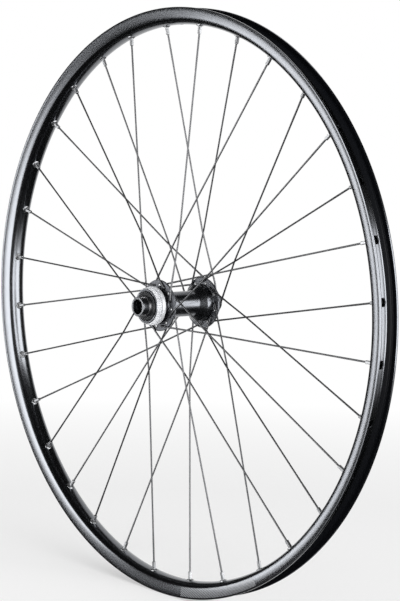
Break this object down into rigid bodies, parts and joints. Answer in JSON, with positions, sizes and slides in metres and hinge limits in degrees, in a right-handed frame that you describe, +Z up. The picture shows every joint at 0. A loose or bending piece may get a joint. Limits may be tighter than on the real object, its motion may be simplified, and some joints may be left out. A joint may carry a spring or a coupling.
{
  "type": "bicycle wheel",
  "caption": "Front bicycle wheel: a hooked box-section rim laced with crossed wire spokes to a disc-brake hub that spins on ball bearings around a through-axle bore.",
  "frame": {"origin": "the wheel's centre, midway between the two locknut faces, on the axle's axis", "axes": "+Y along the axle, away from the brake disc side; +Z up, through the valve hole; +X across the wheel"},
  "size_m": [0.6329, 0.11, 0.633],
  "materials": {
    "anodised_rim": "black anodised, satin",
    "anodised_hub": "black anodised, satin, with a bare machined spline",
    "plated_eyelet": "bright plated",
    "nickel_nipple": "nickel plated",
    "spoke_wire": "drawn stainless wire",
    "bearing_steel": "ground and hardened",
    "seal_rubber": "moulded, matte",
    "axle_alloy": "dark anodised",
    "locknut_alloy": "dark anodised with a bare end face"
  },
  "bodies": {
    "axle": {"axle_tube": "axle_alloy", "left_cone": "bearing_steel", "right_cone": "bearing_steel", "left_locknut": "locknut_alloy", "right_locknut": "locknut_alloy"},
    "wheel": {"rim": "anodised_rim", "eyelets": "plated_eyelet", "nipples": "nickel_nipple", "hub_shell": "anodised_hub", "left_bearing_cup": "bearing_steel", "right_bearing_cup": "bearing_steel", "left_dust_seal": "seal_rubber", "right_dust_seal": "seal_rubber", "spoke_01": "spoke_wire", "spoke_02": "spoke_wire", "spoke_03": "spoke_wire", "spoke_04": "spoke_wire", "spoke_05": "spoke_wire", "spoke_06": "spoke_wire", "spoke_07": "spoke_wire", "spoke_08": "spoke_wire", "spoke_09": "spoke_wire", "spoke_10": "spoke_wire", "spoke_11": "spoke_wire", "spoke_12": "spoke_wire", "spoke_13": "spoke_wire", "spoke_14": "spoke_wire", "spoke_15": "spoke_wire", "spoke_16": "spoke_wire", "spoke_17": "spoke_wire", "spoke_18": "spoke_wire", "spoke_19": "spoke_wire", "spoke_20": "spoke_wire", "spoke_21": "spoke_wire", "spoke_22": "spoke_wire", "spoke_23": "spoke_wire", "spoke_24": "spoke_wire", "spoke_25": "spoke_wire", "spoke_26": "spoke_wire", "spoke_27": "spoke_wire", "spoke_28": "spoke_wire", "spoke_29": "spoke_wire", "spoke_30": "spoke_wire", "spoke_31": "spoke_wire", "spoke_32": "spoke_wire"},
    "left_ball_set": {"left_balls": "bearing_steel"},
    "right_ball_set": {"right_balls": "bearing_steel"}
  },
  "joints": [
    {"name": "wheel_spin", "type": "hinge", "parent": "axle", "child": "wheel", "pos_m": [0, 0, 0], "axis": [0, 1, 0], "continuous": true},
    {"name": "left_balls_orbit", "type": "hinge", "parent": "axle", "child": "left_ball_set", "pos_m": [0, -0.0335, 0], "axis": [0, 1, 0], "continuous": true},
    {"name": "right_balls_orbit", "type": "hinge", "parent": "axle", "child": "right_ball_set", "pos_m": [0, 0.0386, 0], "axis": [0, 1, 0], "continuous": true}
  ],
  "couplings": [
    {"joint": "left_balls_orbit", "follows": "wheel_spin", "ratio": 0.569},
    {"joint": "right_balls_orbit", "follows": "wheel_spin", "ratio": 0.569}
  ]
}
